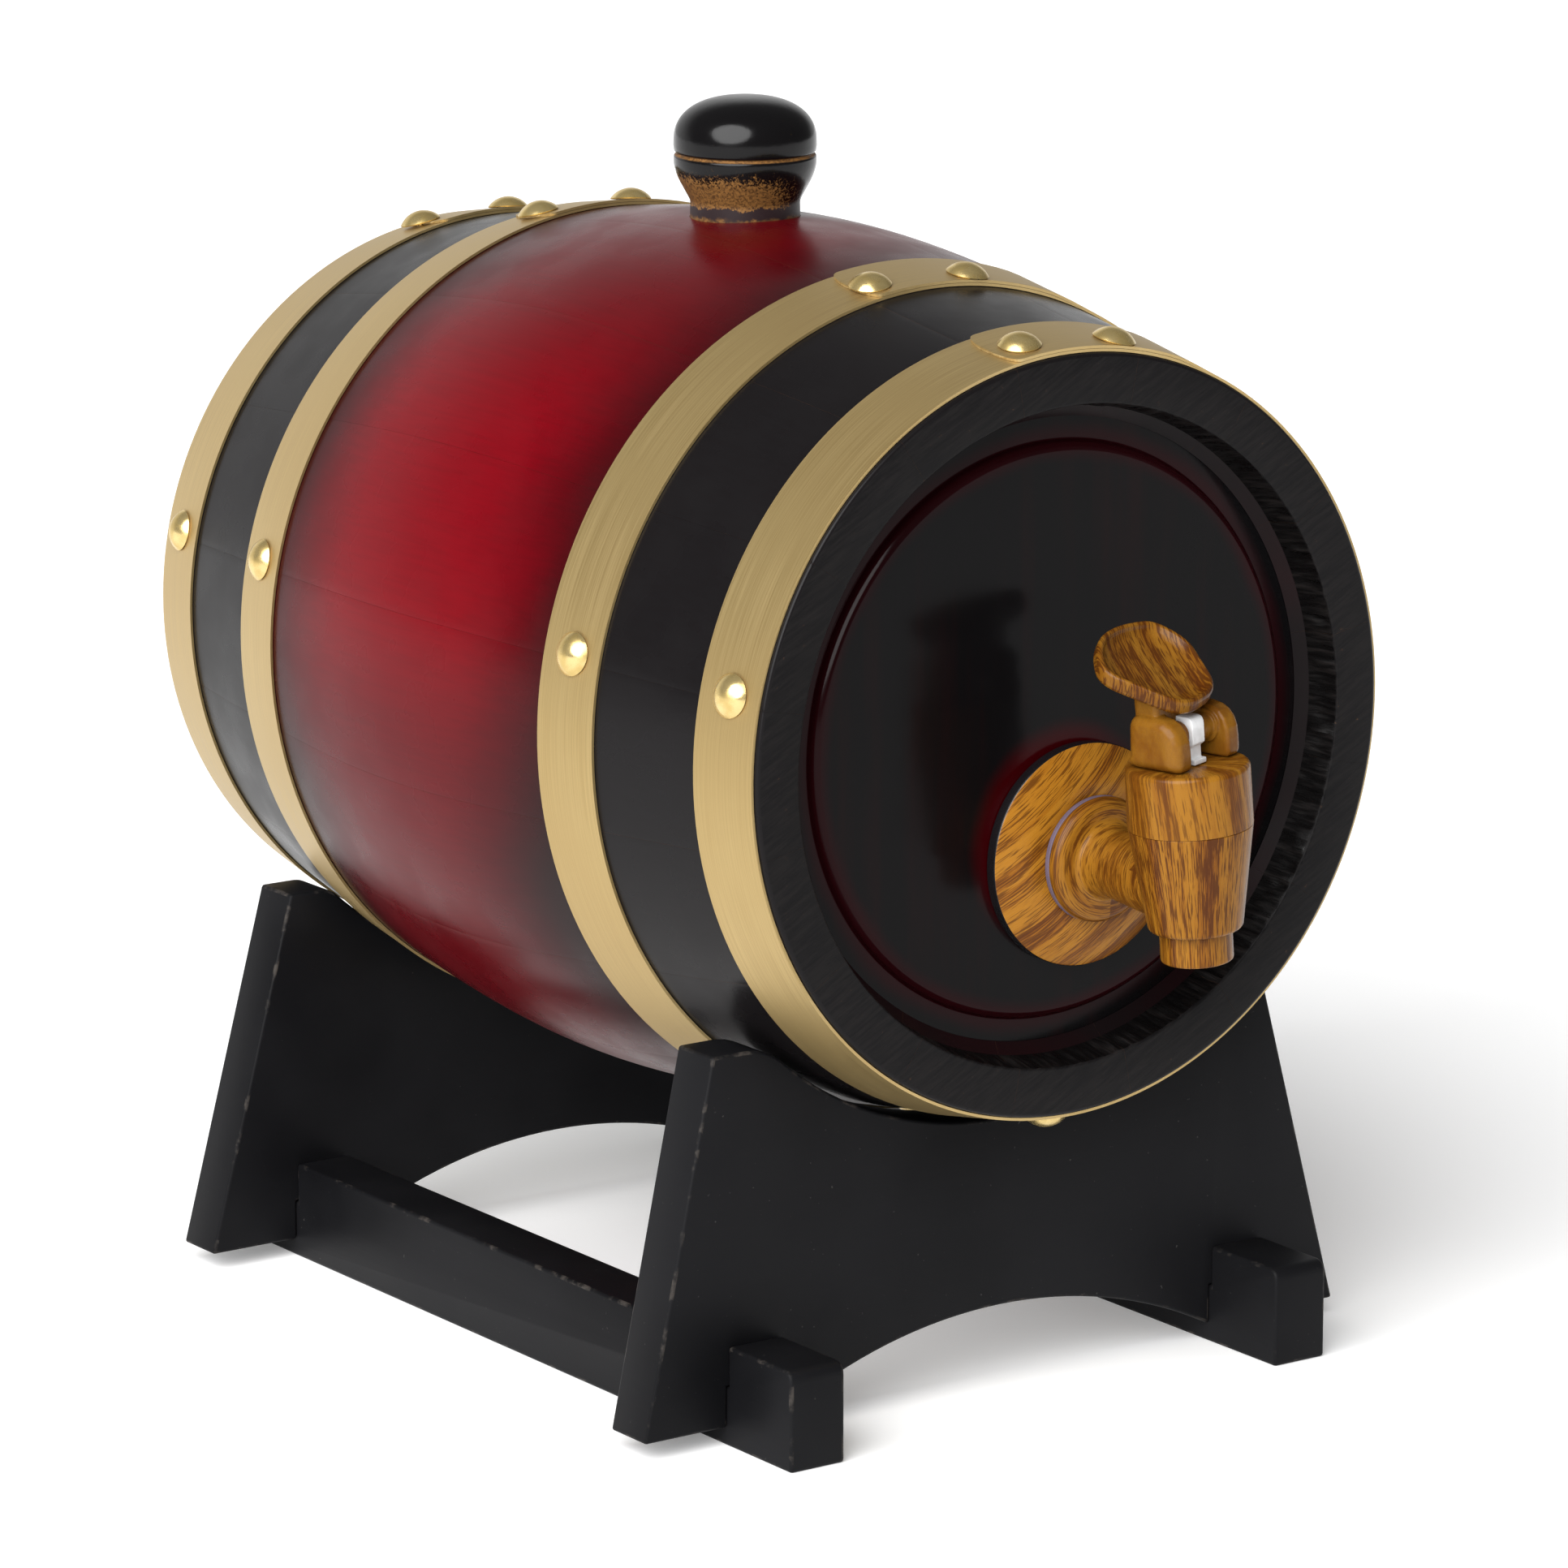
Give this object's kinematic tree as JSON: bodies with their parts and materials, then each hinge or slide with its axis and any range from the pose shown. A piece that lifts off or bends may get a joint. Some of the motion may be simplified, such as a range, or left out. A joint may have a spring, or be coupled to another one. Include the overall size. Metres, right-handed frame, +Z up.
{
  "type": "oak wine barrel",
  "caption": "Small oak barrel with bowed staves, brass hoops, a knob bung and a lever tap in the front head, resting in a halved wooden cradle on two rails.",
  "frame": {"origin": "on the table surface under the middle of the bounding box; the barrel's own middle is 23.6 mm towards +Y of it, because the tap stands out in front", "axes": "+Z up, +Y along the barrel from the tap end to the plain end, +X to the right seen from the tap end"},
  "size_m": [0.2012, 0.2942, 0.2831],
  "materials": {
    "red_oak": "oak stained deep red under semi-gloss lacquer, shaded to black towards and beyond the middle hoops",
    "black_lacquer": "glossy black lacquer",
    "hoop_brass": "brushed brass",
    "bung_wood": "glossy black stain worn to tan at the edges",
    "stand_wood": "satin black paint, edges lightly worn",
    "woodgrain_plastic": "glossy plastic with a printed amber wood grain",
    "white_plastic": "natural white moulded plastic",
    "seal_rubber": "matt grey rubber",
    "spring_steel": "bright wire"
  },
  "bodies": {
    "stand": {"front_cradle_plate": "stand_wood", "rear_cradle_plate": "stand_wood", "left_rail": "stand_wood", "right_rail": "stand_wood"},
    "barrel": {"bung_stave": "red_oak", "front_bilge_hoop": "hoop_brass", "front_bilge_tack_1": "hoop_brass", "front_bilge_tack_2": "hoop_brass", "front_bilge_tack_3": "hoop_brass", "front_bilge_tack_4": "hoop_brass", "front_bilge_tack_5": "hoop_brass", "front_chime_hoop": "hoop_brass", "front_chime_tack_1": "hoop_brass", "front_chime_tack_2": "hoop_brass", "front_chime_tack_3": "hoop_brass", "front_chime_tack_4": "hoop_brass", "front_chime_tack_5": "hoop_brass", "front_head": "black_lacquer", "rear_bilge_hoop": "hoop_brass", "rear_bilge_tack_1": "hoop_brass", "rear_bilge_tack_2": "hoop_brass", "rear_bilge_tack_3": "hoop_brass", "rear_bilge_tack_4": "hoop_brass", "rear_bilge_tack_5": "hoop_brass", "rear_chime_hoop": "hoop_brass", "rear_chime_tack_1": "hoop_brass", "rear_chime_tack_2": "hoop_brass", "rear_chime_tack_3": "hoop_brass", "rear_chime_tack_4": "hoop_brass", "rear_chime_tack_5": "hoop_brass", "rear_head": "black_lacquer", "stave_02": "red_oak", "stave_03": "red_oak", "stave_04": "red_oak", "stave_05": "red_oak", "stave_06": "red_oak", "stave_07": "red_oak", "stave_08": "red_oak", "stave_09": "red_oak", "stave_10": "red_oak", "stave_11": "red_oak", "stave_12": "red_oak", "stave_13": "red_oak", "stave_14": "red_oak", "stave_15": "red_oak", "stave_16": "red_oak", "tap_backplate": "woodgrain_plastic", "tap_body": "woodgrain_plastic", "tap_bonnet": "woodgrain_plastic", "tap_flange_washer": "seal_rubber", "tap_inner_washer": "seal_rubber", "tap_lock_nut": "white_plastic"},
    "bung": {"bung": "bung_wood"},
    "spring": {"tap_spring": "spring_steel"},
    "stem": {"tap_stem": "white_plastic", "tap_valve_seal": "seal_rubber"},
    "lever": {"tap_lever": "woodgrain_plastic"}
  },
  "joints": [
    {"name": "barrel_lift", "type": "slide", "parent": "stand", "child": "barrel", "axis": [0, 0, 1], "range_m": [0, 0.15]},
    {"name": "bung_lift", "type": "slide", "parent": "barrel", "child": "bung", "axis": [0, 0, 1], "range_m": [0, 0.06]},
    {"name": "tap_swivel", "type": "hinge", "parent": "barrel", "child": "spring", "pos_m": [0.007, -0.1334, 0.1272], "axis": [-0.0767, 0, 0.9971], "continuous": true},
    {"name": "stem_lift", "type": "slide", "parent": "spring", "child": "stem", "axis": [-0.0767, 0, 0.9971], "range_m": [0, 0.00265], "deforming": ["tap_spring"]},
    {"name": "lever_press", "type": "hinge", "parent": "stem", "child": "lever", "pos_m": [0.0043, -0.1334, 0.1623], "axis": [-0.9753, -0.2079, -0.075], "range_deg": [0, 25], "stiffness_Nm_per_rad": 0.054, "springref_deg": -28.65}
  ],
  "couplings": [
    {"joint": "stem_lift", "follows": "lever_press", "m_per_rad": 0.006}
  ]
}
